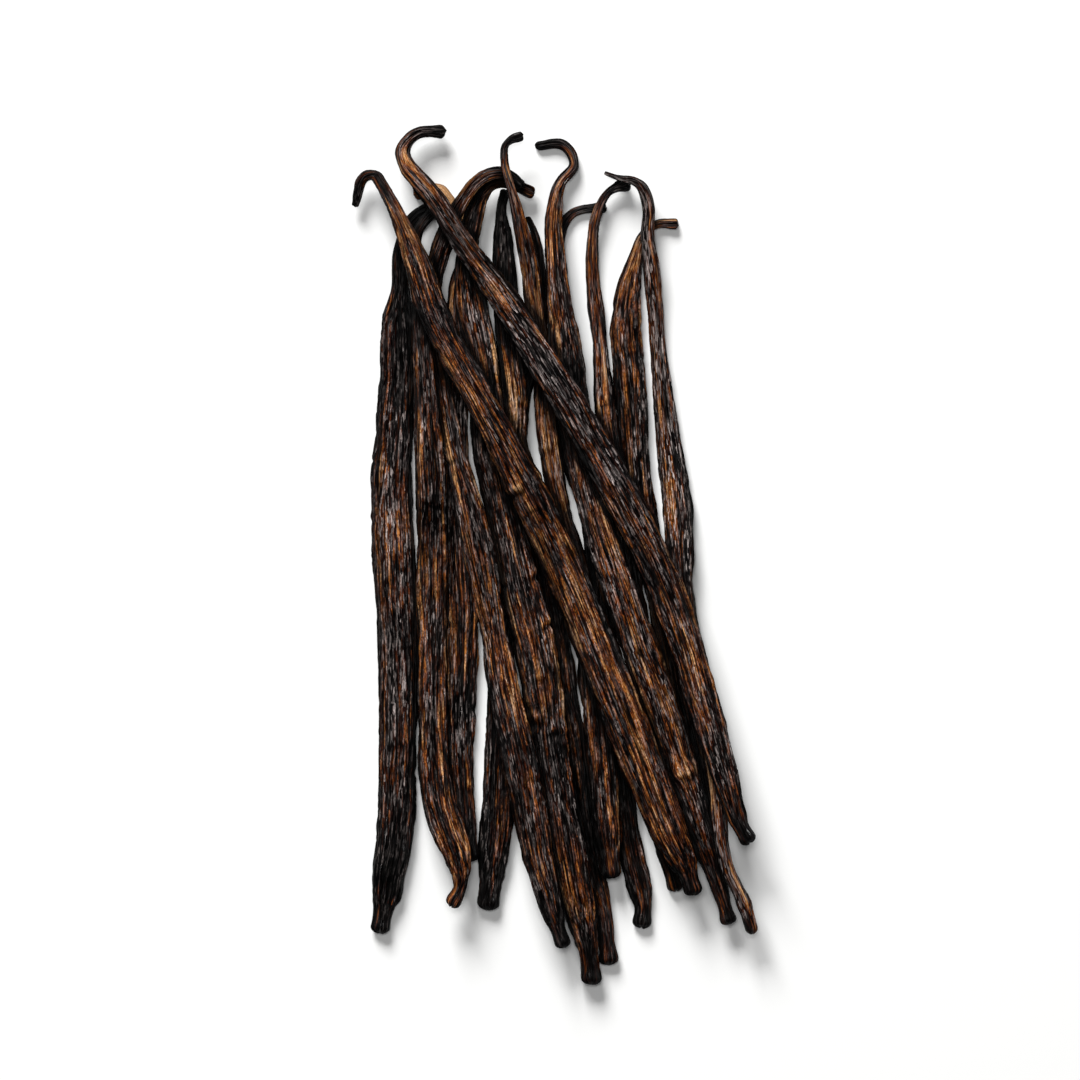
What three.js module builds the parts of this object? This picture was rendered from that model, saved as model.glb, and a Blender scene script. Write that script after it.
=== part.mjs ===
// A loose bundle of fifteen cured vanilla pods lying on a flat surface: long, flattened, oily seed pods with
// a small knob at the blossom end and a thin curled stem at the other.
// Millimetres, +Z up. +Y runs along the bundle towards the curled stems, and the ground is z = 0.
import * as THREE from "three";

// Driving dimensions.
const ringSides = 10; // corners of a pod's cross-section
const sectionPower = 2.4; // 2 is an ellipse, more is a fuller, flatter oval
const flatBase = 1.7; // a pod's thickness is this much ...
const flatShare = 0.32; // ... and this share of its width,
const roundest = 0.9; // but never more than this share of its width
const groundSink = 0.35; // how far a soft underside is flattened by the ground
const restGap = 0.3; // clearance between a pod and what it lies on
const bendRadius = 48; // how tightly a limp pod bends over the ones below
const settleRounds = 160; // smoothing passes over the hollows between two supports
const lineStep = 0.5; // spacing of the points used to lay a pod down
const ringStep = 0.8; // spacing of the cross-sections, as a share of the width
const shortestRing = 1.9;
const longestRing = 5.8;
const neckDepth = 0.17; // how much the pod narrows just behind its blossom knob,
const neckAt = 4.2; // how far from the end,
const neckLength = 1.9; // and over what length
const cell = 0.25; // grid of the pile's surface, on which the next pod is laid
const fieldWidth = 100;
const fieldLength = 200;

// The pods in the order in which they lie, lowest first. Each line goes from the blossom knob to the stem's
// end, as [x, y, width]: where the pod lies and how broad it is there.
const pods = [
  {
    name: "pod_01_buried_left",
    colour: 0x2a1c16,
    line: [
      [-14.2, -74.5, 4], [-13.2, -66.5, 5.6], [-11.9, -52, 6.6], [-11.6, -30, 5.2], [-8.8, 8, 4.6],
      [-7.6, 24, 3.8], [-6.4, 34, 3.6], [-2.9, 50, 2.9], [-3.1, 61, 2.4], [-4, 67, 1.7],
      [-5.6, 71, 1.2],
    ],
  },
  {
    name: "pod_02_buried_right",
    colour: 0x2b1b14,
    line: [
      [18.3, -78.4, 3.4], [18.6, -73.5, 4], [17.7, -69.4, 5.1], [15.5, -60, 5.1], [10.6, -18, 5],
      [6.9, 10, 4.2], [3.4, 22, 4.8], [1.6, 45, 4.1], [0.7, 58, 3.2], [1.1, 67, 2.5], [3.8, 71.5, 2.1],
      [10.9, 73, 2.3],
    ],
  },
  {
    name: "pod_03_cut_stem",
    colour: 0x2f1d15,
    line: [
      [34.8, -66.7, 4.2], [32.5, -57, 5.2], [23.9, -18, 6.2], [17.8, 13.5, 5.7], [15.6, 38, 6.5],
      [14.9, 48, 6.2], [15.7, 57, 4.5], [17.1, 62.3, 2.9], [18.4, 66.4, 2.2], [21, 69.1, 2],
      [26, 69.4, 2.4],
    ],
  },
  {
    name: "pod_04_pointed_stem",
    colour: 0x2d1a12,
    line: [
      [11.4, -86.1, 3.8], [9.9, -74, 3.9], [7, -62, 5.6], [0.5, -18, 5.9], [-5.2, 13.5, 4.8],
      [-8.2, 25, 4.9], [-8.2, 30.5, 6.2], [-8.8, 37, 5.4], [-10.1, 50, 6], [-10.6, 66, 4],
      [-11, 72.3, 2.2], [-10.3, 76.5, 1.6],
    ],
  },
  {
    name: "pod_05_tan_hook",
    colour: 0x3a2216,
    line: [
      [-17.6, -64.4, 3.6], [-19.6, -46, 5.1], [-19.6, -31, 6.2], [-19.4, -15, 6.8], [-20.8, 8, 5.6],
      [-20.2, 45, 4.5], [-20.4, 56, 3.5], [-17.8, 66, 2.9], [-21.8, 73.6, 2.9], [-24.9, 76.8, 2.7],
      [-29.5, 75.4, 2.5],
    ],
  },
  {
    name: "pod_06_inner_arc",
    colour: 0x2e1c14,
    line: [
      [7.7, -90.2, 4], [6.8, -81.5, 4.6], [4.6, -72, 7.6], [0.1, -47.4, 7.6], [-4.3, -18, 9],
      [-7.2, -6, 8.6], [-10.4, 8, 7.8], [-13.5, 24, 8], [-14.7, 38, 6.3], [-17.4, 52, 6.8],
      [-18.5, 61.8, 4.4], [-17.2, 70, 4.3], [-15.4, 75.3, 3.4], [-12.8, 77.6, 2.4], [-10.4, 77.9, 2.5],
      [-4.3, 75.8, 2.3],
    ],
  },
  {
    name: "pod_07_outer_arc",
    colour: 0x33201a,
    line: [
      [2, -82.4, 3], [-0.7, -74.2, 4.9], [-3.4, -63.7, 6.5], [-7, -45, 7.1], [-11.2, -25, 6.6],
      [-12.5, -18, 6], [-16.9, 5, 6.6], [-20.5, 19.8, 4.6], [-23.1, 32.4, 4.2], [-25.9, 54, 3.6],
      [-23, 66, 4.2], [-19.7, 73.6, 3.3], [-15.2, 78.9, 2.9], [-10.5, 79.9, 2.6], [-6.9, 77, 2.3],
    ],
  },
  {
    name: "pod_08_crossing_stem",
    colour: 0x35200f,
    line: [
      [12.1, -67.9, 3.6], [11.2, -59, 5.6], [8.6, -32.7, 6], [6, -7, 4.8], [1.7, 8.3, 4.1],
      [-0.4, 18.8, 4.4], [-2.1, 30, 4.4], [-2.9, 44, 3.4], [-4.3, 53, 4.1], [-5.2, 60, 4],
      [-8.5, 74.4, 2.3], [-10.6, 82.5, 1.7], [-10, 86.3, 1.7], [-6.5, 87.7, 2.1],
    ],
  },
  {
    name: "pod_09_clubbed_stem",
    colour: 0x2a1a14,
    line: [
      [25.6, -70.6, 2.9], [24.2, -65, 3.8], [22.9, -59, 4.6], [19.2, -28.5, 5.5], [13.2, 13.5, 4.9],
      [10.8, 30, 4.5], [9.7, 42, 3.2], [8.9, 49.2, 3.1], [7.8, 62, 2.5], [8.5, 70, 2.1],
      [11, 75.7, 1.8], [15.7, 78.3, 2.8],
    ],
  },
  {
    name: "pod_10_crook_stem",
    colour: 0x2c1c15,
    line: [
      [36.8, -77.6, 3.3], [34.2, -69, 3.9], [31, -59, 5.9], [27.7, -48.4, 6.8], [17.3, -18, 8],
      [8.7, 7.2, 6.3], [5.8, 18.5, 6], [3.9, 32, 7], [2.8, 40.8, 7], [1, 53, 4.9], [-0.1, 70, 3.6],
      [1.1, 77.6, 2.5], [4.1, 82, 2.2], [1.8, 86, 2.4], [-4.2, 85.7, 2],
    ],
  },
  {
    name: "pod_11_outer_right",
    colour: 0x2b1a14,
    line: [
      [41.6, -79.6, 2.1], [39.9, -74, 2.8], [38.5, -70.5, 2.8], [36.5, -66.3, 2.9], [35, -60, 3],
      [33.7, -42, 4.4], [27.3, -11.7, 4.8], [25.8, 9, 6.1], [23.5, 28.2, 4.9], [22.1, 41, 3.8],
      [20.4, 60, 3.6], [19.6, 67, 2.8], [19.7, 73, 2.7], [17.6, 77.8, 2.1], [13.5, 78.9, 1.3],
      [10.4, 80, 0.9],
    ],
  },
  {
    name: "pod_12_outer_left",
    colour: 0x2b1d1b,
    line: [
      [-36.6, -79.5, 3.9], [-36.2, -76.4, 4], [-35.6, -72.6, 5.8], [-35.2, -68.4, 7],
      [-34.4, -64.2, 7.3], [-33.6, -59.5, 7.8], [-33, -39, 8.2], [-33.1, -14, 9], [-34, 6, 9.1],
      [-34, 16, 8.6], [-33, 34.5, 7.6], [-32.9, 49.5, 6.7], [-32.3, 55.6, 3.9], [-32.4, 63, 3],
      [-30, 70, 3], [-25.5, 72.8, 3],
    ],
  },
  {
    name: "pod_13_bent_knob",
    colour: 0x2e1e19,
    line: [
      [-21.7, -73.8, 3.4], [-19.7, -69, 3.1], [-20.5, -62.5, 6.3], [-24, -52, 7], [-25.6, -35, 6.4],
      [-25.9, 14, 6.3], [-27, 32.4, 4.7], [-28.6, 57, 3], [-28.7, 67.4, 2.3], [-25.2, 72.2, 2.2],
    ],
  },
  {
    name: "pod_14_top_left",
    colour: 0x281914,
    line: [
      [29.2, -71.4, 3.1], [27.6, -66, 5.1], [23.4, -56.8, 8.1], [5.8, -12, 8.4], [-3.5, 8.9, 8],
      [-16, 32.9, 6.3], [-24.8, 49.5, 6.3], [-29, 61.8, 5.7], [-32.3, 69.9, 3.5], [-35.5, 76.3, 2.8],
      [-37.9, 79.7, 2.5], [-40.2, 78.9, 2.3], [-41.3, 75.7, 1.9], [-41.9, 73, 1.3],
    ],
  },
  {
    name: "pod_15_top_right",
    colour: 0x2a1a13,
    line: [
      [41, -60.5, 3], [38.2, -55, 4.2], [33.5, -39, 6.4], [23.3, -7.5, 7.8], [11.9, 15.6, 7.6],
      [-7.9, 49.2, 6.7], [-18.8, 64.7, 4.7], [-26, 75.5, 4.5], [-31.5, 82.4, 3.9], [-31.7, 85.1, 3.5],
      [-28.6, 88.3, 2.9], [-22.8, 88.7, 2.8],
    ],
  },
];

// Half the thickness of a pod where it is this wide.
function halfThickness(width) {
  return 0.5 * Math.min(roundest * width, flatBase + flatShare * width);
}

// How far the section's skin is above or below its middle, at a distance from the pod's line.
function skinHeight(width, across) {
  const share = Math.min(1, Math.abs(across) / (0.5 * width));
  return halfThickness(width) * (1 - share ** sectionPower) ** (1 / sectionPower);
}

// The narrow neck between the blossom knob and the body.
function neckFactor(along) {
  return 1 - neckDepth * Math.exp(-(((along - neckAt) / neckLength) ** 2));
}

// Points along the pod every lineStep, each with its plan position, its width and the direction across it.
function linePoints(line) {
  const curve = new THREE.CatmullRomCurve3(
    line.map(([x, y, width]) => new THREE.Vector3(x, y, width)),
    false,
    "centripetal",
  );
  curve.arcLengthDivisions = 600;
  const count = Math.round(curve.getLength() / lineStep);
  const spaced = curve.getSpacedPoints(count);
  return spaced.map((point, i) => {
    const before = spaced[Math.max(0, i - 1)];
    const after = spaced[Math.min(count, i + 1)];
    const heading = new THREE.Vector2(after.x - before.x, after.y - before.y).normalize();
    const along = i * lineStep;
    return { x: point.x, y: point.y, width: point.z * neckFactor(along), heading, along };
  });
}

// The pile's surface so far, as a height for each cell of the ground.
const columns = fieldWidth / cell;
const rows = fieldLength / cell;
const surface = new Float32Array(columns * rows);

function cellAt(x, y) {
  const column = Math.round((x + fieldWidth / 2) / cell);
  const row = Math.round((y + fieldLength / 2) / cell);
  return row * columns + column;
}

// The highest point of the pile in the cells round a place.
function pileTop(x, y) {
  let top = 0;
  for (let dx = -cell; dx <= cell; dx += cell)
    for (let dy = -cell; dy <= cell; dy += cell) top = Math.max(top, surface[cellAt(x + dx, y + dy)]);
  return top;
}

// Calls back with each place across a pod at one of its points.
function acrossPod(point, visit) {
  const reach = 0.5 * point.width;
  const steps = Math.ceil(point.width / cell);
  for (let i = 0; i <= steps; i++) {
    const across = -reach + (point.width * i) / steps;
    visit(point.x - point.heading.y * across, point.y + point.heading.x * across, across);
  }
}

// The lowest that a pod's middle can be at a point: on the ground, or on the pods below.
function restHeight(point) {
  let height = halfThickness(point.width) - groundSink * Math.min(1, point.width / 4);
  acrossPod(point, (x, y, across) => {
    const below = pileTop(x, y);
    if (below > 0) height = Math.max(height, below + restGap + skinHeight(point.width, across));
  });
  return height;
}

// Lays a pod on the pile: it bends over each support like a limp rod, and hollows between supports are eased.
function layDown(points) {
  const floor = points.map(restHeight);
  let heights = points.map((point, i) => {
    let height = floor[i];
    for (let j = 0; j < points.length; j++) {
      const away = (j - i) * lineStep;
      height = Math.max(height, floor[j] - (away * away) / (2 * bendRadius));
    }
    return height;
  });
  for (let round = 0; round < settleRounds; round++)
    heights = heights.map((height, i) => {
      const before = heights[Math.max(0, i - 1)];
      const after = heights[Math.min(heights.length - 1, i + 1)];
      return Math.max(floor[i], (before + height + after) / 3);
    });
  points.forEach((point, i) => {
    point.z = heights[i];
  });
  for (const point of points)
    acrossPod(point, (x, y, across) => {
      const at = cellAt(x, y);
      surface[at] = Math.max(surface[at], point.z + skinHeight(point.width, across));
    });
}

// A round end: the share of the full section at a distance from the tip.
function endFactor(fromTip, radius) {
  return fromTip >= radius ? 1 : Math.sqrt(1 - (1 - fromTip / radius) ** 2);
}

// Where the cross-sections stand along the pod: close together on the round ends and thin parts.
function ringPlaces(points) {
  const length = points.at(-1).along;
  const firstRadius = 0.5 * points[0].width;
  const lastRadius = 0.4 * points.at(-1).width;
  const places = [0.14 * firstRadius, 0.5 * firstRadius, firstRadius];
  const lastPlace = length - lastRadius;
  let place = firstRadius;
  for (;;) {
    const { width } = points[Math.round(place / lineStep)];
    place += Math.min(longestRing, Math.max(shortestRing, ringStep * width));
    if (place > lastPlace - 0.5 * shortestRing) break;
    places.push(place);
  }
  places.push(lastPlace, length - 0.14 * lastRadius);
  return { places, length, firstRadius, lastRadius };
}

// A point of the laid pod at any distance along it.
function pointAt(points, along) {
  const exact = along / lineStep;
  const i = Math.min(points.length - 2, Math.max(0, Math.floor(exact)));
  const share = exact - i;
  const [a, b] = [points[i], points[i + 1]];
  const mix = (key) => a[key] + (b[key] - a[key]) * share;
  const slope = (b.z - a.z) / lineStep;
  const heading = a.heading.clone().lerp(b.heading, share).normalize();
  return { x: mix("x"), y: mix("y"), z: mix("z"), width: mix("width"), heading, slope };
}

// The pod's skin: a ring of corners at each place, closed to a point at both tips.
function podGeometry(points, origin) {
  const { places, length, firstRadius, lastRadius } = ringPlaces(points);
  const corners = [];
  const addCorner = (x, y, z) => corners.push(x - origin.x, y - origin.y, Math.max(z, 0) - origin.z);
  const first = pointAt(points, 0);
  addCorner(first.x, first.y, first.z);
  for (const along of places) {
    const point = pointAt(points, along);
    const factor = endFactor(along, firstRadius) * endFactor(length - along, lastRadius);
    const side = new THREE.Vector3(-point.heading.y, point.heading.x, 0);
    const ahead = new THREE.Vector3(point.heading.x, point.heading.y, point.slope).normalize();
    const up = new THREE.Vector3().crossVectors(ahead, side);
    for (let i = 0; i < ringSides; i++) {
      const angle = ((i + 0.5) / ringSides) * 2 * Math.PI;
      const [c, s] = [Math.cos(angle), Math.sin(angle)];
      const across = 0.5 * point.width * factor * Math.sign(c) * Math.abs(c) ** (2 / sectionPower);
      const above = halfThickness(point.width) * factor * Math.sign(s) * Math.abs(s) ** (2 / sectionPower);
      addCorner(
        point.x + side.x * across + up.x * above,
        point.y + side.y * across + up.y * above,
        point.z + side.z * across + up.z * above,
      );
    }
  }
  const last = pointAt(points, length);
  addCorner(last.x, last.y, last.z);

  const faces = [];
  const lastCorner = corners.length / 3 - 1;
  const corner = (ring, i) => 1 + ring * ringSides + (i % ringSides);
  for (let i = 0; i < ringSides; i++) {
    faces.push(0, corner(0, i + 1), corner(0, i));
    faces.push(lastCorner, corner(places.length - 1, i), corner(places.length - 1, i + 1));
    for (let ring = 0; ring + 1 < places.length; ring++) {
      faces.push(corner(ring, i), corner(ring, i + 1), corner(ring + 1, i + 1));
      faces.push(corner(ring, i), corner(ring + 1, i + 1), corner(ring + 1, i));
    }
  }
  const geometry = new THREE.BufferGeometry();
  geometry.setAttribute("position", new THREE.Float32BufferAttribute(corners, 3));
  geometry.setIndex(faces);
  geometry.computeVertexNormals();
  return geometry;
}

// Cured pod skin is dark brown and slightly oily.
function podMesh({ name, colour, line }) {
  const points = linePoints(line);
  layDown(points);
  const middle = points[Math.round(points.length / 2)];
  const origin = new THREE.Vector3(middle.x, middle.y, middle.z);
  const material = new THREE.MeshStandardMaterial({ color: colour, roughness: 0.42, metalness: 0 });
  const mesh = new THREE.Mesh(podGeometry(points, origin), material);
  mesh.name = name;
  mesh.position.copy(origin);
  return mesh;
}

// The bundle stands on the ground with the middle of its outline over the origin.
const bundle = new THREE.Group();
bundle.name = "vanilla_pod_bundle";
for (const pod of pods) bundle.add(podMesh(pod));
const box = new THREE.Box3().setFromObject(bundle, true);
const centre = box.getCenter(new THREE.Vector3());
bundle.position.set(-centre.x, -centre.y, -box.min.z);

export default bundle;
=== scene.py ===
# A loose bundle of fifteen cured vanilla pods on a pale table. Each pod is a smooth skin drawn over its
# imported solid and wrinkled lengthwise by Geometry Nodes, with one oily dark-brown material.
import math

import bmesh
import bpy
import numpy as np
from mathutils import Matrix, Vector


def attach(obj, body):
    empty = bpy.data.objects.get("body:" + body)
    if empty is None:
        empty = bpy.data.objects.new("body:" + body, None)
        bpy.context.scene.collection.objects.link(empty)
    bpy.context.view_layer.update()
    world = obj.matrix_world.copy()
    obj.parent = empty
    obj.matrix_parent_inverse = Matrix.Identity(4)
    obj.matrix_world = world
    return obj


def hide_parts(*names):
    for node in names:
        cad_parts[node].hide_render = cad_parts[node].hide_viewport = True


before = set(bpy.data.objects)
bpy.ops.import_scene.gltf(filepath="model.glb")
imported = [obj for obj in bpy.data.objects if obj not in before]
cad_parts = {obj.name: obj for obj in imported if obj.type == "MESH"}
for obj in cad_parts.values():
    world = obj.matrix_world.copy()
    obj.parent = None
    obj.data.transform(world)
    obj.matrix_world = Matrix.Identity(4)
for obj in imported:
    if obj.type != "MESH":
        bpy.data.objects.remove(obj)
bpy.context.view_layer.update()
mm = 0.001
weldGap = 1e-6  # m, between the loose triangles of a solid
ringSides = 10  # corners of a solid's cross-section
aroundTwice = np.arange(-2, ringSides + 3)  # the corners in order, and a few of them over again at both ends
seedStep = 3.7  # from one pod's noise to the next one's
scene = bpy.context.scene
times, plus, minus, over = ({"operation": name} for name in ("MULTIPLY", "ADD", "SUBTRACT", "DIVIDE"))
timesPlus = {"operation": "MULTIPLY_ADD"}
scaledBy = {"operation": "SCALE"}
mixShare, mixUnder, mixOver, mixedColour = 0, 6, 7, 2  # sockets of a Mix node for colours


def colour(code):
    # an sRGB hex value as a linear colour
    parts = [int(code[i : i + 2], 16) / 255 for i in (1, 3, 5)]
    linear = [c / 12.92 if c <= 0.04045 else ((c + 0.055) / 1.055) ** 2.4 for c in parts]
    return (*linear, 1)


def addNode(tree, kind, settings=None, inputs=None):
    # a node with its settings, and its inputs as values, sockets or nodes
    node = tree.nodes.new(kind)
    for name, value in (settings or {}).items():
        setattr(node, name, value)
    pairs = inputs.items() if isinstance(inputs, dict) else enumerate(inputs or [])
    for key, value in pairs:
        if isinstance(value, bpy.types.Node):
            value = value.outputs[0]
        if isinstance(value, bpy.types.NodeSocket):
            tree.links.new(value, node.inputs[key])
        else:
            node.inputs[key].default_value = value
    return node


def streaks(tree, place, size, seed, detail=0.0):
    # noise drawn out along the pod: its marks are size mm across and along
    across, along = size
    grid = addNode(tree, "ShaderNodeCombineXYZ", None, [across, across, along])
    scaled = addNode(tree, "ShaderNodeVectorMath", over, [place, grid])
    inputs = {"Vector": scaled, "W": seed, "Scale": 1.0, "Detail": detail, "Roughness": 0.5}
    return addNode(tree, "ShaderNodeTexNoise", {"noise_dimensions": "4D"}, inputs)


def fibres(tree, place, size, seed):
    # cells with clean edges, size mm across and along, each with a value of its own from 0 to 1
    across, along = size
    grid = addNode(tree, "ShaderNodeCombineXYZ", None, [across, across, along])
    scaled = addNode(tree, "ShaderNodeVectorMath", over, [place, grid])
    moved = addNode(tree, "ShaderNodeVectorMath", plus, [scaled, seed])
    cells = addNode(tree, "ShaderNodeTexVoronoi", {"feature": "F1"}, {"Vector": moved, "Scale": 1.0})
    return addNode(tree, "ShaderNodeSeparateColor", None, [cells.outputs["Color"]]).outputs[0]


noiseLevels = {  # the noise itself runs from about 0.2 to 0.8
    "crests": (0.27, 0.73),  # the highest crests, on either side of a groove
    "crestShape": 0.7,  # below 1 the crests are broad and the grooves narrow
    "bandEdge": (0.38, 0.52),
    "patchEdge": (0.47, 0.62),
    "patchLeast": 0.22,  # how crinkled the skin is between the patches
    "foldTop": 0.6,  # above this the skin rises
    "crinkleTop": 0.6,
    "lumpTop": 0.58,
}


def pleats(tree, noise):
    # sharp grooves where the noise crosses its middle, and rounded ridges between them
    spread = addNode(tree, "ShaderNodeMapRange", None, [noise, *noiseLevels["crests"], -1.0, 1.0])
    away = addNode(tree, "ShaderNodeMath", {"operation": "ABSOLUTE"}, [spread])
    return addNode(tree, "ShaderNodeMath", {"operation": "POWER"}, [away, noiseLevels["crestShape"]])


wrinkles = {  # sizes in mm
    "Fullness": 0.45,  # how far the pleats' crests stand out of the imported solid
    "Limit": 0.45,  # the skin never stands further out than this
    "Fold Spacing": 3.0,  # wide, soft troughs where the pod has sunk in
    "Fold Length": 40.0,
    "Fold Depth": 1.1,
    "Band Spacing": 0.9,  # flat strips between long furrows
    "Band Length": 30.0,
    "Band Depth": 0.35,
    "Ridge Spacing": 0.56,  # the long pleats
    "Ridge Length": 22.0,
    "Ridge Depth": 0.36,
    "Fine Spacing": 0.4,
    "Fine Length": 6.0,
    "Fine Depth": 0.2,
    "Crinkle Spacing": 1.8,  # short wrinkles across the pod
    "Crinkle Length": 0.8,
    "Crinkle Depth": 0.5,
    "Patch Spacing": 3.5,  # where the crinkles are
    "Patch Length": 8.0,
    "Lump Spacing": 4.0,
    "Lump Length": 7.0,
    "Lump Depth": 1.3,
    "Wander": 1.5,  # how far the pleats stray sideways
    "Wander Spacing": 6.0,
    "Wander Length": 22.0,
    "Swirl": 2.5,  # how many times further they stray in a knot
}


def wrinkleTree():
    # sinks the skin between its pleats, and keeps what the material needs to know
    tree = bpy.data.node_groups.new("podWrinkles", "GeometryNodeTree")
    tree.is_modifier = True
    tree.interface.new_socket("Geometry", in_out="INPUT", socket_type="NodeSocketGeometry")
    for name in [*wrinkles, "Seed"]:
        tree.interface.new_socket(name, in_out="INPUT", socket_type="NodeSocketFloat")
    tree.interface.new_socket("Material", in_out="INPUT", socket_type="NodeSocketMaterial")
    tree.interface.new_socket("Geometry", in_out="OUTPUT", socket_type="NodeSocketGeometry")
    size = addNode(tree, "NodeGroupInput").outputs
    seed = size["Seed"]
    layers = ("Fold", "Band", "Ridge", "Fine", "Crinkle", "Patch", "Lump", "Wander")
    spans = {name: (size[name + " Spacing"], size[name + " Length"]) for name in layers}
    found = {}
    for name in ("skinPlace", "calm", "crease", "knot"):
        kind = {"data_type": "FLOAT_VECTOR" if name == "skinPlace" else "FLOAT"}
        found[name] = addNode(tree, "GeometryNodeInputNamedAttribute", kind, {"Name": name})
    place = found["skinPlace"]

    # the pleats stray sideways as they run, and swirl where there is a knot
    stray = streaks(tree, place, spans["Wander"], seed, detail=1.0).outputs["Color"]
    centred = addNode(tree, "ShaderNodeVectorMath", minus, [stray, (0.5, 0.5, 0.5)])
    swirl = addNode(tree, "ShaderNodeMath", timesPlus, [found["knot"], size["Swirl"], 1.0])
    reach = addNode(tree, "ShaderNodeMath", times, [swirl, size["Wander"]])
    strayed = addNode(tree, "ShaderNodeVectorMath", scaledBy, {0: centred, "Scale": reach})
    fibre = addNode(tree, "ShaderNodeVectorMath", plus, [place, strayed])

    fold = streaks(tree, fibre, spans["Fold"], seed, detail=1.0)
    fold = addNode(tree, "ShaderNodeMath", minus, [fold, noiseLevels["foldTop"]])
    fold = addNode(tree, "ShaderNodeMath", times, [fold, size["Fold Depth"]])
    band = streaks(tree, fibre, spans["Band"], seed)
    edge = [band, *noiseLevels["bandEdge"], 0.0, 1.0]
    band = addNode(tree, "ShaderNodeMapRange", {"interpolation_type": "SMOOTHSTEP"}, edge)
    ridge = pleats(tree, streaks(tree, fibre, spans["Ridge"], seed))
    fine = pleats(tree, streaks(tree, fibre, spans["Fine"], seed))
    patch = streaks(tree, place, spans["Patch"], seed, detail=1.0)
    edge = [patch, *noiseLevels["patchEdge"], noiseLevels["patchLeast"], 1.0]
    patch = addNode(tree, "ShaderNodeMapRange", None, edge)
    patch = addNode(tree, "ShaderNodeMath", plus, [patch, found["knot"]])
    crinkle = streaks(tree, fibre, spans["Crinkle"], seed, detail=1.0)
    crinkle = addNode(tree, "ShaderNodeMath", minus, [crinkle, noiseLevels["crinkleTop"]])
    crinkle = addNode(tree, "ShaderNodeMath", times, [crinkle, patch])
    crinkle = addNode(tree, "ShaderNodeMath", times, [crinkle, size["Crinkle Depth"]])
    lump = streaks(tree, place, spans["Lump"], seed, detail=2.0)
    lump = addNode(tree, "ShaderNodeMath", minus, [lump, noiseLevels["lumpTop"]])
    lump = addNode(tree, "ShaderNodeMath", times, [lump, size["Lump Depth"]])

    depth = size["Fullness"]
    for shape, name in ((band, "Band Depth"), (ridge, "Ridge Depth"), (fine, "Fine Depth")):
        sunk = addNode(tree, "ShaderNodeMath", minus, [shape, 1.0])
        depth = addNode(tree, "ShaderNodeMath", timesPlus, [sunk, size[name], depth])
    for part in (fold, crinkle, lump):
        depth = addNode(tree, "ShaderNodeMath", plus, [depth, part])
    depth = addNode(tree, "ShaderNodeMath", times, [depth, found["calm"]])
    depth = addNode(tree, "ShaderNodeMath", minus, [depth, found["crease"]])
    depth = addNode(tree, "ShaderNodeMath", {"operation": "MINIMUM"}, [depth, size["Limit"]])

    kind = {"data_type": "FLOAT_VECTOR", "domain": "POINT"}
    inputs = {"Geometry": size["Geometry"], "Name": "fibre", "Value": fibre}
    kept = addNode(tree, "GeometryNodeStoreNamedAttribute", kind, inputs)
    metres = addNode(tree, "ShaderNodeMath", times, [depth, mm])
    normal = addNode(tree, "GeometryNodeInputNormal")
    offset = addNode(tree, "ShaderNodeVectorMath", scaledBy, {0: normal, "Scale": metres})
    moved = addNode(tree, "GeometryNodeSetPosition", None, {"Geometry": kept, "Offset": offset})
    real = addNode(tree, "GeometryNodeRealizeInstances", None, {"Geometry": moved})
    painted = addNode(tree, "GeometryNodeSetMaterial", None, {"Geometry": real, "Material": size["Material"]})
    addNode(tree, "NodeGroupOutput", None, {"Geometry": painted})
    return tree


skinLook = {  # sizes in mm, across and along the pod
    "colours": [  # from the blackest skin to the thinnest
        (0.0, "#020101"),
        (0.27, "#0c0505"),
        (0.43, "#35140a"),
        (0.58, "#673211"),
        (0.74, "#955220"),
        (0.88, "#b07239"),
        (1.0, "#cf9c6a"),
    ],
    "strips": ((1.3, 40.0), 0.9),  # size, and how much warmer or darker each is
    "lines": ((0.38, 14.0), 0.55),
    "threads": ((0.24, 2.4), 0.46),
    "patches": ((2.4, 15.0), 1.55),
    "grain": ((0.24, 0.45), (0.3, 1.45)),  # size, and its darkest and lightest shade
    # painted shade in the furrows: how dark each kind is painted
    "bandFurrow": (0.36, 0.5, 0.55),  # where a furrow is darkest, where it ends, and the shade in it
    "ridgeFurrow": (0.2, 0.5, 0.04),
    "fineFurrow": (0.1, 0.4, 0.35),
    "calmSkin": (0.5, 0.95, 0.45),  # thinnest stem, full body, and how much paler the stem's furrows are
    # the grey of dry bloom on the crests, which also serves as a painted sheen
    "bloomAndSheen": "#c4b5b0",
    "flecks": ((0.26, 1.7), (0.5, 1.0)),  # size, and the values that turn grey
    "dryAndSheenPlaces": ((2.0, 9.0), (0.42, 0.6), 0.22),  # size, edge, and how much grey there is elsewhere
    "oilyPlaces": (0.8, 5.0),
    "oilyEdge": (0.35, 0.65),
    "roughness": (0.32, 0.6),
    "coatEdge": (0.6, 0.42),
    "coatRoughness": 0.16,
    "coatOnLines": 0.3,  # the lines below this value have no coat
    "ior": 1.45,
    "specular": 0.08,
    "bump": 0.1,  # mm
    "bumpParts": (0.6, 0.4, 0.3),  # of the threads, the pleats and the fine wrinkles, against the lines
}


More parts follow.
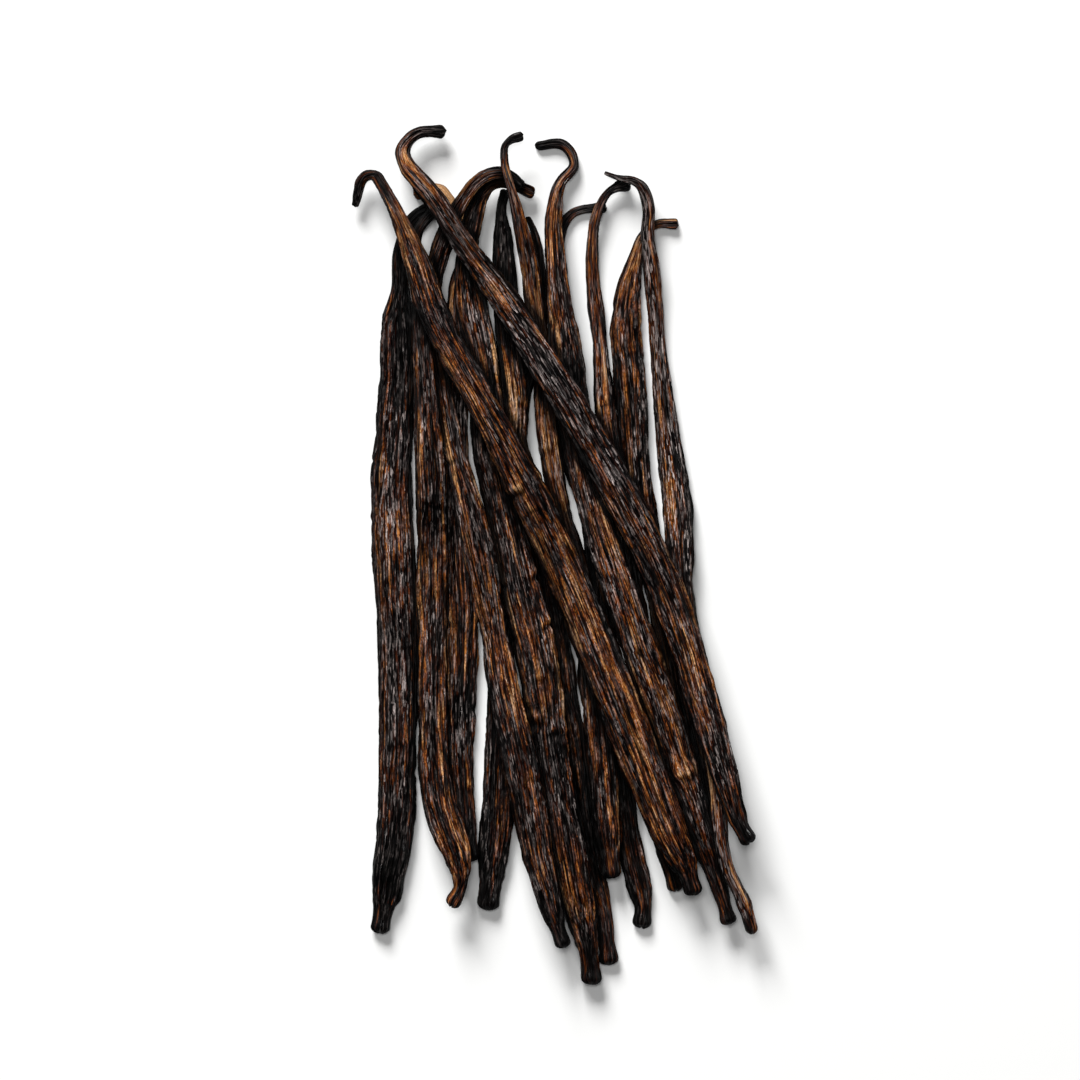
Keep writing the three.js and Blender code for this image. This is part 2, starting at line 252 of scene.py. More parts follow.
def curedSkin():
    # Cured vanilla skin: sweated, dried and oily. Near-black, with brown and orange showing on the pleats
    # where the skin is thin, and a broken grey sheen along their crests, partly coat and partly painted grey
    # flecks.
    material = bpy.data.materials.new("curedVanillaSkin")
    material.use_nodes = True
    tree = material.node_tree
    tree.nodes.clear()
    place = addNode(tree, "ShaderNodeAttribute", {"attribute_name": "skinPlace"}).outputs["Vector"]
    fibre = addNode(tree, "ShaderNodeAttribute", {"attribute_name": "fibre"}).outputs["Vector"]
    tone = addNode(tree, "ShaderNodeAttribute", {"attribute_name": "tone"}).outputs["Vector"]
    seed, warmth, bloomAndSheen = addNode(tree, "ShaderNodeSeparateXYZ", None, [tone]).outputs
    shade = addNode(tree, "ShaderNodeAttribute", {"attribute_name": "shade"}).outputs["Fac"]
    calm = addNode(tree, "ShaderNodeAttribute", {"attribute_name": "calm"}).outputs["Fac"]

    # the same furrows as the wrinkles', and fibres a little coarser than real, so that they show
    band, ridge, fine = (
        streaks(tree, fibre, (wrinkles[name + " Spacing"], wrinkles[name + " Length"]), seed)
        for name in ("Band", "Ridge", "Fine")
    )
    ridge, fine = pleats(tree, ridge), pleats(tree, fine)
    lines = fibres(tree, fibre, skinLook["lines"][0], seed)
    threads = fibres(tree, fibre, skinLook["threads"][0], seed)
    strips = streaks(tree, fibre, skinLook["strips"][0], seed)
    patches = streaks(tree, place, skinLook["patches"][0], seed, detail=2.0)
    warm = warmth
    for layer, name in ((strips, "strips"), (lines, "lines"), (threads, "threads"), (patches, "patches")):
        level = addNode(tree, "ShaderNodeMath", minus, [layer, 0.5])
        warm = addNode(tree, "ShaderNodeMath", timesPlus, [level, skinLook[name][1], warm])
    ramp = addNode(tree, "ShaderNodeValToRGB", None, [warm])
    elements = ramp.color_ramp.elements
    while len(elements) < len(skinLook["colours"]):
        elements.new(0.5)
    for element, (position, code) in zip(elements, skinLook["colours"]):
        element.position = position
        element.color = colour(code)

    # the furrows are painted black, as shade falls in them, less so on the smoother stems
    grainSize, grainShades = skinLook["grain"]
    grain = fibres(tree, place, grainSize, seed)
    groove = addNode(tree, "ShaderNodeMapRange", None, [grain, 0.0, 1.0, *grainShades])
    for furrow, name in ((band, "bandFurrow"), (ridge, "ridgeFurrow"), (fine, "fineFurrow")):
        dark = addNode(tree, "ShaderNodeMapRange", None, [furrow, *skinLook[name], 1.0])
        groove = addNode(tree, "ShaderNodeMath", times, [groove, dark])
    soft = addNode(tree, "ShaderNodeMapRange", None, [calm, *skinLook["calmSkin"], 0.0])
    lost = addNode(tree, "ShaderNodeMath", minus, [1.0, groove])
    groove = addNode(tree, "ShaderNodeMath", timesPlus, [lost, soft, groove])
    groove = addNode(tree, "ShaderNodeMath", times, [groove, shade])
    grey = addNode(tree, "ShaderNodeCombineColor", None, [groove, groove, groove])
    mixing = {"data_type": "RGBA", "blend_type": "MULTIPLY"}
    inputs = {mixShare: 1.0, mixUnder: ramp, mixOver: grey}
    skin = addNode(tree, "ShaderNodeMix", mixing, inputs).outputs[mixedColour]

    # dry crests go grey in broken lines: partly dry bloom, partly a painted sheen in place of the crests'
    # highlights
    fleckSize, fleckEdge = skinLook["flecks"]
    dryAndSheen = fibres(tree, fibre, fleckSize, seed)
    dryAndSheen = addNode(tree, "ShaderNodeMapRange", None, [dryAndSheen, *fleckEdge, 0.0, 1.0])
    dryAndSheenSize, dryAndSheenEdge, dryAndSheenLeast = skinLook["dryAndSheenPlaces"]
    where = streaks(tree, place, dryAndSheenSize, seed, detail=1.0)
    where = addNode(tree, "ShaderNodeMapRange", None, [where, *dryAndSheenEdge, dryAndSheenLeast, 1.0])
    dustAndSheen = addNode(tree, "ShaderNodeMath", times, [dryAndSheen, where])
    for mask in (bloomAndSheen, groove):
        dustAndSheen = addNode(tree, "ShaderNodeMath", times, [dustAndSheen, mask])
    mixing = {"data_type": "RGBA", "blend_type": "MIX"}
    inputs = {mixShare: dustAndSheen, mixUnder: skin, mixOver: colour(skinLook["bloomAndSheen"])}
    skin = addNode(tree, "ShaderNodeMix", mixing, inputs).outputs[mixedColour]

    # oil lies in patches, and shines on the crests only
    oil = streaks(tree, place, skinLook["oilyPlaces"], seed, detail=2.0)
    dull = [oil, *skinLook["oilyEdge"], *skinLook["roughness"]]
    roughness = addNode(tree, "ShaderNodeMapRange", None, dull)
    coat = addNode(tree, "ShaderNodeMapRange", None, [oil, *skinLook["coatEdge"], 0.0, 1.0])
    glossy = addNode(tree, "ShaderNodeMapRange", None, [lines, skinLook["coatOnLines"], 1.0, 0.0, 1.0])
    for mask in (glossy, groove, groove):
        coat = addNode(tree, "ShaderNodeMath", times, [coat, mask])

    height = lines
    for part, strength in zip((threads, ridge, fine), skinLook["bumpParts"]):
        height = addNode(tree, "ShaderNodeMath", timesPlus, [part, strength, height])
    inputs = {"Strength": 1.0, "Distance": skinLook["bump"] * mm, "Height": height}
    bump = addNode(tree, "ShaderNodeBump", None, inputs)
    inputs = {
        "Base Color": skin,
        "Roughness": roughness,
        "IOR": skinLook["ior"],
        "Specular IOR Level": skinLook["specular"],
        "Normal": bump,
        "Coat Weight": coat,
        "Coat Roughness": skinLook["coatRoughness"],
        "Coat Normal": bump,
    }
    surface = addNode(tree, "ShaderNodeBsdfPrincipled", None, inputs)
    addNode(tree, "ShaderNodeOutputMaterial", None, {"Surface": surface})
    return material


skinMesh = {
    "around": 0.115,  # mm between points round a pod
    "along": 0.55,
    "underside": 0.5,  # how closely the points stand there, against the top
    "undersideFrom": 0.25,  # of the height, below the middle
    "measuring": 24,  # steps from corner to corner when the way round is measured
    "capSteps": 9,
    "blossomRings": 3,  # cross-sections of the solid that its own rounded ends take up
    "stemRings": 2,
    "knobAt": 1.2,  # mm from the blossom tip to the fullest part of the knob
    "knobReach": 1.3,
    "clubAt": 1.0,  # the same for the stem's end
    "clubReach": 1.4,
    "merging": 0.65,  # 0: a stem has as many pleats as the pod. 1: they merge, and keep their breadth.
}

# Each pod's own marks, places in mm along the bundle.
# warmth: how much orange shows. bloomAndSheen: dry grey and painted sheen. gapShade: painted shade between
# pods.
# marks: place, more or less warmth, reach. creases: place, depth, breadth. knots: place, strength, reach.
# blossom and stem: how far the end's rounding reaches against its width, how blunt it is, and its flare.
# neck: how much of the solid's neck is filled, its distance from the tip, and its reach.
# blossomShade, blossomReach and tipShade: how dark the two ends are.
plainPod = {
    "warmth": 0.38,
    "bloomAndSheen": 0.8,
    "shade": 1.0,
    "gapShade": 1.0,
    "marks": [],
    "creases": [],
    "knots": [],
    "blossom": (0.4, 2.5, 0.13),
    "neck": (0.06, 4.4, 1.8),
    "stem": (0.3, 2.6, 0.1),
    "blossomShade": 0.36,
    "blossomReach": 14.0,
    "tipShade": 0.45,
}
pods = {
    "pod_01_buried_left": {"warmth": 0.24, "bloomAndSheen": 0.7, "gapShade": 0.6, "marks": [(60.0, 0.4, 12.0)]},
    "pod_02_buried_right": {"warmth": 0.28, "bloomAndSheen": 0.8, "shade": 0.9, "marks": [(72.0, 0.25, 10.0)]},
    "pod_03_cut_stem": {
        "warmth": 0.42,
        "gapShade": 0.6,
        "marks": [(68.0, 0.35, 8.0), (49.0, 0.22, 11.0), (28.0, 0.08, 12.0), (41.0, -0.3, 1.5)],
        "creases": [(41.2, 0.15, 0.6)],
        "tipShade": 0.2,
    },
    "pod_04_pointed_stem": {
        "warmth": 0.4,
        "marks": [(66.0, -0.3, 14.0), (33.0, 0.2, 6.0), (24.0, 0.22, 7.0), (-75.0, -0.08, 12.0)],
        "creases": [(30.4, 0.25, 0.7)],
        "knots": [(29.5, 0.8, 3.0)],
    },
    "pod_05_tan_hook": {
        "warmth": 0.4,
        "gapShade": 0.1,
        "marks": [(75.0, 1.1, 6.0), (68.0, 0.4, 8.0), (-32.0, -0.35, 1.8)],
        "creases": [(-14.8, 0.3, 0.6), (-32.2, 0.35, 0.9), (-49.5, 0.4, 1.0), (11.0, 0.2, 0.8)],
        "tipShade": 0.0,
    },
    "pod_06_inner_arc": {
        "warmth": 0.42,
        "marks": [
            (77.0, 0.38, 9.0),
            (54.0, -0.15, 7.0),
            (40.0, 0.15, 3.0),
            (-12.0, 0.12, 6.0),
            (-34.0, 0.15, 4.0),
        ],
        "creases": [
            (-5.6, 0.6, 0.7),
            (-16.7, 0.45, 0.6),
            (-27.5, 0.35, 0.7),
            (-31.0, 0.45, 1.0),
            (-34.8, 0.6, 1.2),
            (-37.8, 0.35, 0.7),
            (14.0, 0.25, 0.7),
        ],
        "knots": [(-34.0, 0.7, 4.0)],
    },
    "pod_07_outer_arc": {
        "warmth": 0.4,
        "marks": [(76.0, 0.36, 8.0), (-14.0, 0.04, 8.0), (-47.5, 0.25, 2.5), (-78.0, -0.2, 10.0)],
        "creases": [(19.4, 0.5, 0.6), (-47.8, 0.25, 0.7), (3.0, 0.2, 0.7)],
    },
    "pod_08_crossing_stem": {
        "warmth": 0.46,
        "marks": [(60.0, 0.15, 14.0)],
        "creases": [(20.9, 0.3, 0.5), (10.0, 0.2, 0.6)],
        "tipShade": 0.7,
    },
    "pod_09_clubbed_stem": {
        "warmth": 0.42,
        "marks": [(66.0, 0.15, 10.0)],
        "creases": [(31.0, 0.2, 0.7)],
        "stem": (0.45, 2.2, 0.35),
        "tipShade": 0.6,
    },
    "pod_10_crook_stem": {
        "warmth": 0.42,
        "marks": [(62.0, 0.14, 14.0), (-45.5, 0.12, 1.8), (-30.0, 0.06, 12.0), (-3.0, 0.15, 4.0)],
        "creases": [(-5.0, 0.3, 0.7), (-46.8, 0.45, 0.8), (75.0, 0.15, 0.8)],
        "knots": [(-45.5, 0.8, 2.2)],
        "stem": (0.7, 2.3, 0.05),
        "tipShade": 0.7,
    },
    "pod_11_outer_right": {
        "warmth": 0.36,
        "bloomAndSheen": 1.3,
        "gapShade": 0.4,
        "marks": [(77.0, 0.12, 4.0), (-40.0, 0.15, 15.0), (-62.0, -0.05, 5.0), (-78.0, 0.1, 5.0)],
        "blossom": (0.6, 2.2, 0.05),
        "neck": (0.36, 3.6, 6.0),
        "blossomShade": 0.0,
        "blossomReach": 2.0,
        "tipShade": 0.2,
    },
    "pod_12_outer_left": {
        "warmth": 0.27,
        "bloomAndSheen": 0.9,
        "marks": [(7.0, 0.12, 3.0), (-60.0, -0.15, 14.0)],
        "creases": [
            (19.6, 0.3, 0.5),
            (7.4, 0.3, 0.5),
            (29.8, 0.15, 0.5),
            (24.7, 0.15, 0.4),
            (-12.0, 0.1, 0.5),
        ],
        "blossomShade": 0.6,
        "blossomReach": 26.0,
    },
    "pod_13_bent_knob": {
        "warmth": 0.42,
        "marks": [(-8.0, 0.05, 12.0), (-50.0, -0.04, 14.0), (11.0, -0.1, 2.0)],
        "creases": [(10.6, 0.35, 0.7), (9.0, 0.2, 0.5), (-68.5, 0.3, 1.2)],
        "neck": (0.2, 4.4, 1.8),
    },
    "pod_14_top_left": {
        "warmth": 0.42,
        "bloomAndSheen": 0.5,
        "marks": [
            (65.0, 0.27, 10.0),
            (56.5, 0.1, 2.0),
            (49.5, -0.25, 4.0),
            (42.0, 0.15, 3.0),
            (33.0, 0.2, 5.0),
            (20.0, -0.1, 6.0),
            (4.0, 0.2, 3.0),
            (-15.0, 0.18, 12.0),
            (-33.0, 0.08, 10.0),
        ],
        "creases": [
            (44.2, 0.3, 0.6),
            (32.6, 0.15, 0.5),
            (13.8, 0.6, 0.8),
            (8.6, 0.3, 0.6),
            (-20.6, 0.15, 0.4),
        ],
    },
    "pod_15_top_right": {
        "warmth": 0.36,
        "bloomAndSheen": 0.9,
        "marks": [
            (82.0, 0.22, 2.5),
            (70.0, -0.08, 8.0),
            (56.0, 0.2, 2.5),
            (48.2, -0.2, 3.0),
            (36.0, -0.15, 9.0),
            (18.0, -0.1, 8.0),
            (-5.0, 0.1, 14.0),
        ],
        "creases": [(55.6, 0.3, 0.7), (48.0, 0.25, 0.9), (22.6, 0.35, 0.7), (13.6, 0.2, 0.5)],
        "stem": (0.5, 2.2, 0.15),
    },
}


def ringsOf(node):
    # the corners of each cross-section of a pod's solid, from the blossom end, and the two tips
    shell = bmesh.new()
    shell.from_mesh(node.data)
    bmesh.ops.remove_doubles(shell, verts=shell.verts, dist=weldGap)
    tips = [vert for vert in shell.verts if len(vert.link_edges) == ringSides]
    current = {min(tips, key=lambda vert: vert.co.y)}
    reached = set(current)
    levels = []
    while current:
        levels.append(np.array(sorted(tuple(vert.co) for vert in current)) / mm)
        current = {edge.other_vert(vert) for vert in current for edge in vert.link_edges} - reached
        reached |= current
    shell.free()
    return levels


def inOrder(corners, ahead):
    # the corners of one ring, counted from its left side over the top
    side = np.array([-ahead[1], ahead[0], 0])
    side /= np.linalg.norm(side)
    up = np.cross(ahead, side)
    offsets = corners - corners.mean(0)
    across, above = offsets @ side, offsets @ up
    angle = np.arctan2(above / abs(above).max(), across / abs(across).max()) % (2 * math.pi)
    return corners[np.argsort(angle)]


def smooth(stations, values, places):
    # a smooth curve through the values at their stations, read at other places
    flat = values.reshape(len(values), -1)
    step = np.diff(stations)[:, None]
    rate = np.diff(flat, axis=0) / step
    slope = np.empty_like(flat)
    slope[1:-1] = (rate[:-1] * step[1:] + rate[1:] * step[:-1]) / (step[1:] + step[:-1])
    slope[0], slope[-1] = rate[0], rate[-1]
    i = np.clip(np.searchsorted(stations, places) - 1, 0, len(stations) - 2)
    t = ((places - stations[i]) / step[i, 0])[:, None]
    found = (
        (1 + 2 * t) * (1 - t) ** 2 * flat[i]
        + t * (1 - t) ** 2 * step[i] * slope[i]
        + t * t * (3 - 2 * t) * flat[i + 1]
        - t * t * (1 - t) * step[i] * slope[i + 1]
    )
    return found.reshape(len(places), *values.shape[1:])


def roundSection(rings):
    # where the points stand round the pod, as a share of the corners, and the share of the way round
    widest = rings[np.argmax(np.ptp(rings, axis=1).max(1))]
    fine = np.linspace(0, ringSides, ringSides * skinMesh["measuring"] + 1)
    path = smooth(aroundTwice, widest[aroundTwice % ringSides], fine)
    step = np.linalg.norm(np.diff(path, axis=0), axis=1)
    heights = widest[:, 2]
    low = path[:-1, 2] < heights.mean() - skinMesh["undersideFrom"] * np.ptp(heights)
    weight = step * np.where(low, skinMesh["underside"], 1)
    count = int(weight.sum() / skinMesh["around"])
    wanted = np.arange(count) / count * weight.sum()
    corner = np.interp(wanted, np.concatenate([[0], weight.cumsum()]), fine)
    share = np.interp(corner, fine, np.concatenate([[0], step.cumsum()]) / step.sum())
    return corner, share, step.sum()


def capPlaces(width, length, blunt):
    # a blunt rounded end: distances from the tip, and the share of the full section there
    turn = np.linspace(0, math.pi / 2, skinMesh["capSteps"])[1:]
    return width * length * (1 - np.cos(turn) ** (2 / blunt)), np.sin(turn) ** (2 / blunt)


def hump(distance, reach):
    return np.exp(-((distance / reach) ** 2))


def between(least, share):
    # from the least to 1, as the share goes from 0 to 1
    return least + (1 - least) * share.clip(0, 1)


def fading(distance, reach):
    # from 1 at one end of the pod to 0 at the reach
    return (1 - distance / reach).clip(0, 1)


def podShape(levels, own):
    # the smooth surface over a solid's rings, row by row from the blossom end
    centres = np.array([level.mean(0) for level in levels])
    ahead = np.gradient(centres, axis=0)
    ahead /= np.linalg.norm(ahead, axis=1)[:, None]
    rings = np.array([inOrder(levels[i], ahead[i]) for i in range(1, len(levels) - 1)])
    offsets = rings - rings.mean(1)[:, None]
    stations = np.concatenate([[0], np.linalg.norm(np.diff(centres, axis=0), axis=1).cumsum()])
    length = stations[-1]

    # the full sections are those behind the rounded ends
    first, last = skinMesh["blossomRings"], len(levels) - 1 - skinMesh["stemRings"]
    full, fullAt = offsets[first - 1 : last], stations[first : last + 1]
    corner, share, girth = roundSection(rings)
    closed = full[:, aroundTwice % ringSides]
    sections = smooth(aroundTwice, closed.transpose(1, 0, 2), corner).transpose(1, 0, 2)

    blossomCap, blossomBlunt, blossomFlare = own["blossom"]
    stemCap, stemBlunt, stemFlare = own["stem"]
    blossomWidth = np.ptp(full[0] @ np.cross([0, 0, 1], ahead[first]))
    stemWidth = np.ptp(full[-1] @ np.cross([0, 0, 1], ahead[last]))
    firstAt, firstShare = capPlaces(blossomWidth, blossomCap, blossomBlunt)
    lastAt, lastShare = capPlaces(stemWidth, stemCap, stemBlunt)
    body = length - firstAt[-1] - lastAt[-1]
    steps = int(body / skinMesh["along"])
    middle = firstAt[-1] + np.arange(1, steps) / steps * body
    places = np.concatenate([firstAt, middle, length - lastAt[::-1]])
    scale = np.concatenate([firstShare, np.ones(len(middle)), lastShare[::-1]])
    neckFill, neckAt, neckReach = own["neck"]
    knob = blossomFlare * hump(places - skinMesh["knobAt"], skinMesh["knobReach"])
    knob += neckFill * hump(places - neckAt, neckReach)
    club = stemFlare * hump(length - places - skinMesh["clubAt"], skinMesh["clubReach"])
    scale = scale * (1 + knob + club)

    line = smooth(stations, centres, places)
    shape = smooth(fullAt, sections, np.clip(places, fullAt[0], fullAt[-1]))
    points = line[:, None] + shape * scale[:, None, None]
    points = np.concatenate([centres[:1], points.reshape(-1, 3), centres[-1:]])
    points[:, 2] = points[:, 2].clip(0)

    # the same points on a straightened pod, in mm
    angle = np.tile(2 * math.pi * share, len(places))
    breadth = np.linalg.norm(shape, axis=2).mean(1)
    radius = girth / (2 * math.pi) * (breadth / breadth.max()) ** skinMesh["merging"]
    radius = np.repeat(radius, len(corner))
    away = np.repeat(places, len(corner))
    straight = np.stack([radius * np.cos(angle), radius * np.sin(angle), away], axis=1)
    return {
        "points": points,
        "straight": np.concatenate([[[0, 0, 0]], straight, [[0, 0, length]]]),
        "angle": np.concatenate([[0], angle, [0]]),
        "breadth": np.concatenate([breadth[:1], np.repeat(breadth, len(corner)), breadth[-1:]]),
        "places": places,
        "line": line,
        "count": len(corner),
    }


def podFaces(rows, count):
    # quads between the rows, and triangles round each tip
    ring = 1 + np.arange(rows)[:, None] * count
    here, after = np.arange(count), (np.arange(count) + 1) % count
    quads = np.stack([ring[:-1] + here, ring[:-1] + after, ring[1:] + after, ring[1:] + here], axis=2)
    first = np.stack([np.zeros(count, int), 1 + after, 1 + here], axis=1)
    last = np.stack([np.full(count, 1 + rows * count), ring[-1] + here, ring[-1] + after], axis=1)
    return first.tolist() + quads.reshape(-1, 4).tolist() + last.tolist()


# painted shade between the pods: the skin is darker where the pile stands higher round it, as less light
# reaches there
crowding = {
    "cell": 0.4,  # mm
    "reach": (48, 98),  # mm from the middle of the table
    "radii": (0.8, 1.6, 2.8),
    "directions": 8,
    "steepest": 1.5,
    "darkening": 2.2,
    "darkest": 0.04,
}


def cellsAt(x, y):
    places = [(v + reach) / crowding["cell"] for v, reach in zip((x, y), crowding["reach"])]
    return tuple(place.astype(int) for place in places)


def pileTops(clouds):
    # the height of the pile over each cell of the table
    tops = np.zeros([int(2 * reach / crowding["cell"]) for reach in crowding["reach"]])
    for points in clouds:
        np.maximum.at(tops, cellsAt(points[:, 0], points[:, 1]), points[:, 2])
    return tops


def crowded(points, tops):
    # how steeply the pile stands round each point, which sets the painted shade between the pods
    x, y, z = points.T
    total = np.zeros(len(points))
    for radius in crowding["radii"]:
        for turn in np.arange(crowding["directions"]) * 2 * math.pi / crowding["directions"]:
            around = tops[cellsAt(x + radius * math.cos(turn), y + radius * math.sin(turn))]
            total += ((around - z) / radius).clip(0, crowding["steepest"])
    return total / (len(crowding["radii"]) * crowding["directions"])


ageing = {  # reaches in mm along the pod
    "fullBreadth": 2.4,  # mm from the middle to the skin, from where on a pod is fully wrinkled
    "leastWrinkled": 0.5,
    "knobWrinkled": 0.7,
    "knobReach": 7.0,
    "tipReach": 8.0,
    "tipBlackness": 0.9,
    "tipBlackReach": 7.0,
    "stemDulling": 0.17,
    "stemReach": 50.0,
    "knotWarmth": 0.1,
    # sideShade is painted shade: each pod's sides and underside are darker, as less light falls there
    "sideShade": (0.4, 0.05, 0.6),  # the darkest, the height where it starts to clear, and over how much
    # dry bloom and painted sheen: less of it at the knob, the blossom end and the stem
    "knobBloomAndSheen": 0.15,
    "bodyBloomAndSheen": (0.45, 60.0),  # at the blossom end, and from where on there is all of it
    "stemBloomAndSheen": (0.35, 50.0),
}
creaseForm = {  # places and reaches against the crease's own breadth
    "waves": ((0.9, 1, 1), (0.45, 3, 2), (0.3, 7, 3)),  # size, how often round the pod, and turn
    "unevenness": (0.55, 0.45, 2, 5),  # middle, size, how often round the pod, and turn
    "rim": (0.35, 2.0, 1.3),  # height, place and reach
    # the pale rim is partly the skin's own colour, partly a painted highlight on the fold's lit side
    "paleRim": (0.6, 1.9, 0.8),  # warmth, place and reach
    # painted shade in the crease
    "darkness": (1.9, 0.85),  # for each mm of depth, and at most
}
wornEdges = {
    "sides": ((0.5, 1.0), (math.pi - 0.5, 2.6)),  # angle round the pod, and where its wandering starts
    "reach": 0.11,
    "wander": (0.18, 8.0),  # angle, and mm along the pod for each radian
    "warmth": 0.4,
    "gaps": (0.4, 0.6, 11.0),  # middle, size, and mm along the pod for each radian
}


def podMarks(number, own, shape, tops):
    # how calm, creased, knotted, warm and dark the skin is at each point
    straight, angle, places, line = (shape[key] for key in ("straight", "angle", "places", "line"))
    fromKnob = straight[:, 2]
    fromStem = fromKnob[-1] - fromKnob

    def awayFrom(y):
        # mm along the pod from where it passes this place of the bundle
        return fromKnob - places[np.argmin(abs(line[:, 1] - y))]

    calm = (shape["breadth"] / ageing["fullBreadth"]).clip(ageing["leastWrinkled"], 1)
    calm *= between(ageing["knobWrinkled"], fromKnob / ageing["knobReach"])
    warmth = own["warmth"] - own["blossomShade"] * fading(fromKnob, own["blossomReach"])
    warmth -= own["tipShade"] * fading(fromStem, ageing["tipReach"])
    warmth -= ageing["stemDulling"] * fading(fromStem, ageing["stemReach"])
    crease, knot = np.zeros(len(fromKnob)), np.zeros(len(fromKnob))
    for y, change, reach in own["marks"]:
        warmth += change * hump(awayFrom(y), reach)
    for y, depth, breadth in own["creases"]:
        start = number + y
        away = awayFrom(y)
        for size, often, turn in creaseForm["waves"]:
            away = away + breadth * size * np.sin(often * angle + turn * start)
        middle, size, often, turn = creaseForm["unevenness"]
        uneven = depth * (middle + size * np.sin(often * angle + turn * start))
        height, place, reach = creaseForm["rim"]
        rim = height * hump(away - place * breadth, reach * breadth)
        crease += uneven * (hump(away, breadth) - rim)
        # a pale rim on the fold's upper side: partly the skin's own colour, partly a painted highlight where
        # light falls on the fold
        change, place, reach = creaseForm["paleRim"]
        warmth += change * uneven * hump(away - place * breadth, reach * breadth)
    for y, strength, reach in own["knots"]:
        knot += strength * hump(awayFrom(y), reach)
    warmth += ageing["knotWarmth"] * knot

    # the two long edges of a flattened pod are worn to thin, paler lines
    sway, swayLength = wornEdges["wander"]
    middle, size, gapLength = wornEdges["gaps"]
    for side, start in wornEdges["sides"]:
        wandered = angle - side - sway * np.sin(fromKnob / swayLength + number + start)
        shown = (middle + size * np.sin(fromKnob / gapLength + 2 * number + start)).clip(0, 1)
        warmth += wornEdges["warmth"] * hump(wandered, wornEdges["reach"]) * shown

    # painted shade: darker in the creases, on the sides and underside, and between the pods; the black stem
    # tip is the pod's own colour
    darkest, clearFrom, clearOver = ageing["sideShade"]
    darkness, most = creaseForm["darkness"]
    shade = own["shade"] * (1 - (darkness * crease).clip(0, most))
    shade *= between(darkest, (np.sin(angle) - clearFrom) / clearOver)
    shade *= 1 - ageing["tipBlackness"] * own["tipShade"] * fading(fromStem, ageing["tipBlackReach"])
    # painted shade between the pods
    gapShade = own["gapShade"] * crowding["darkening"] * crowded(shape["points"], tops)
    shade *= (1 - gapShade).clip(crowding["darkest"], 1)
    bloomAndSheen = own["bloomAndSheen"] * (fromKnob / own["blossomReach"]).clip(ageing["knobBloomAndSheen"], 1)
    for distance, (least, reach) in ((fromKnob, ageing["bodyBloomAndSheen"]), (fromStem, ageing["stemBloomAndSheen"])):
        bloomAndSheen *= between(least, distance / reach)
    tone = np.stack([np.full(len(fromKnob), number * seedStep), warmth, bloomAndSheen], axis=1)
    return {"skinPlace": straight, "tone": tone, "shade": shade, "calm": calm, "crease": crease, "knot": knot}


def podSkin(name, number, own, shape, tops, tree, material):
    mesh = bpy.data.meshes.new(name + "_skin")
    faces = podFaces(len(shape["places"]), shape["count"])
    mesh.from_pydata((shape["points"] * mm).tolist(), [], faces)
    for title, values in podMarks(number, own, shape, tops).items():
        kind, field = ("FLOAT_VECTOR", "vector") if values.ndim == 2 else ("FLOAT", "value")
        kept = mesh.attributes.new(title, kind, "POINT")
        kept.data.foreach_set(field, values.astype(np.float32).ravel())
    mesh.shade_smooth()

    draft = bpy.data.objects.new(name + "_draft", mesh)
    scene.collection.objects.link(draft)
    modifier = draft.modifiers.new("wrinkles", "NODES")
    modifier.node_group = tree
    given = {**wrinkles, "Seed": number * seedStep, "Material": material}
    for item in tree.interface.items_tree:
        if item.in_out == "INPUT" and item.name in given:
            modifier[item.identifier] = given[item.name]
    evaluated = draft.evaluated_get(bpy.context.evaluated_depsgraph_get())
    final = bpy.data.meshes.new_from_object(evaluated)
    bpy.data.objects.remove(draft)
    corners = np.empty(len(final.vertices) * 3, np.float32)
    final.vertices.foreach_get("co", corners)
    corners[2::3] = corners[2::3].clip(0)  # the table flattens what lies on it
    final.vertices.foreach_set("co", corners)
    final.update()
    piece = bpy.data.objects.new(name + "_skin", final)
    scene.collection.objects.link(piece)
    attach(piece, "root")
    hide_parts(name)
    return len(final.polygons)


skinMaterial = curedSkin()
skinTree = wrinkleTree()
print("material and wrinkles made")
pods = {name: {**plainPod, **own} for name, own in pods.items()}
shapes = {name: podShape(ringsOf(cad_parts[name]), own) for name, own in pods.items()}
tops = pileTops([shape["points"] for shape in shapes.values()])
faceCount = 0
for number, (name, own) in enumerate(pods.items(), 1):
    faceCount += podSkin(name, number, own, shapes[name], tops, skinTree, skinMaterial)
print("pods:", len(pods), "faces:", faceCount)


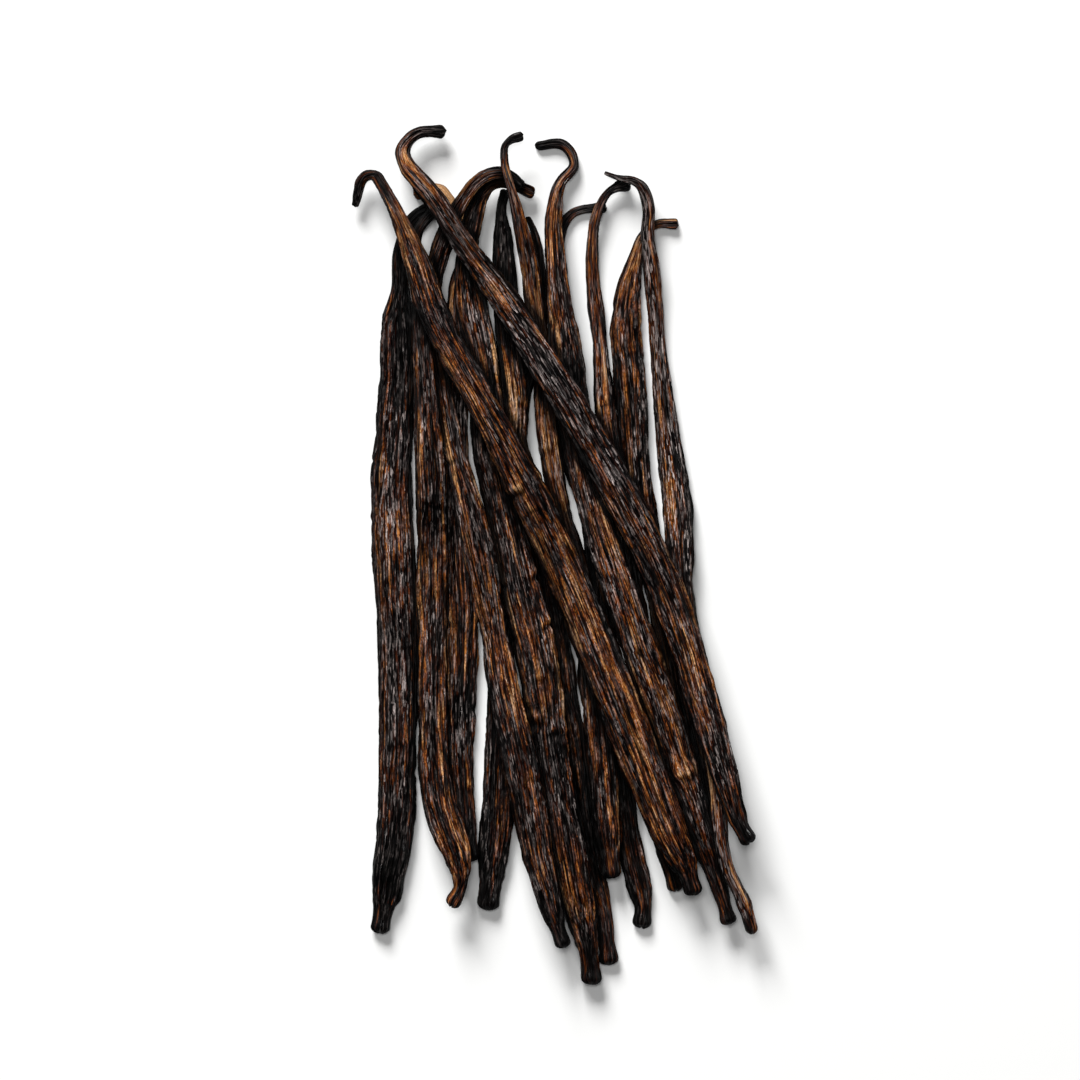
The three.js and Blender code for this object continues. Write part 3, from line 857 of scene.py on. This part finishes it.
studio = {
    "tableSide": 6.0,  # m
    "tableBelow": 0.02,  # mm, so that the pods' flat undersides don't flicker
    "tableColour": "#f4f4f3",
    "tableRoughness": 0.9,
    "keyFrom": (-0.8, 2.4, 1.62),
    "keySize": (1.25, 1.25),
    "keyPower": 146.0,
    "topFrom": (-0.1, 0.35, 3.3),
    "topSize": (0.8, 0.8),
    "topPower": 30.0,
    "fill": 0.085,
}


def table():
    half = studio["tableSide"] / 2
    mesh = bpy.data.meshes.new("table")
    corners = [(-half, -half), (half, -half), (half, half), (-half, half)]
    mesh.from_pydata([(x, y, -studio["tableBelow"] * mm) for x, y in corners], [], [(0, 1, 2, 3)])
    material = bpy.data.materials.new("matteWhiteBoard")
    material.use_nodes = True
    surface = material.node_tree.nodes["Principled BSDF"]
    surface.inputs["Base Color"].default_value = colour(studio["tableColour"])
    surface.inputs["Roughness"].default_value = studio["tableRoughness"]
    mesh.materials.append(material)
    piece = bpy.data.objects.new("table", mesh)
    scene.collection.objects.link(piece)


def softbox(name, place, size, power):
    light = bpy.data.lights.new(name, "AREA")
    light.shape = "RECTANGLE"
    light.size, light.size_y = size
    light.energy = power
    lamp = bpy.data.objects.new(name, light)
    lamp.location = place
    lamp.rotation_euler = (-Vector(place)).to_track_quat("-Z", "Y").to_euler()
    scene.collection.objects.link(lamp)


table()
softbox("keyLight", studio["keyFrom"], studio["keySize"], studio["keyPower"])
softbox("topLight", studio["topFrom"], studio["topSize"], studio["topPower"])
world = bpy.data.worlds.new("studio")
world.use_nodes = True
world.node_tree.nodes["Background"].inputs["Color"].default_value = (1, 1, 1, 1)
world.node_tree.nodes["Background"].inputs["Strength"].default_value = studio["fill"]
scene.world = world
scene.view_settings.view_transform = "Standard"
print("table and lights set")

view = {
    "middle": (-2.97, 3.08),  # mm, under the middle of the picture
    "width": 226.8,  # mm across the picture
    "height": 3000.0,  # a long lens from high above, so that nothing leans
    "sensor": 36.0,  # mm across the film
}
camera = bpy.data.cameras.new("camera")
camera.sensor_width = view["sensor"]
camera.lens = camera.sensor_width * view["height"] / view["width"]
camera.clip_end = 10.0
cameraObject = bpy.data.objects.new("camera", camera)
cameraObject.location = (view["middle"][0] * mm, view["middle"][1] * mm, view["height"] * mm)
scene.collection.objects.link(cameraObject)
scene.camera = cameraObject
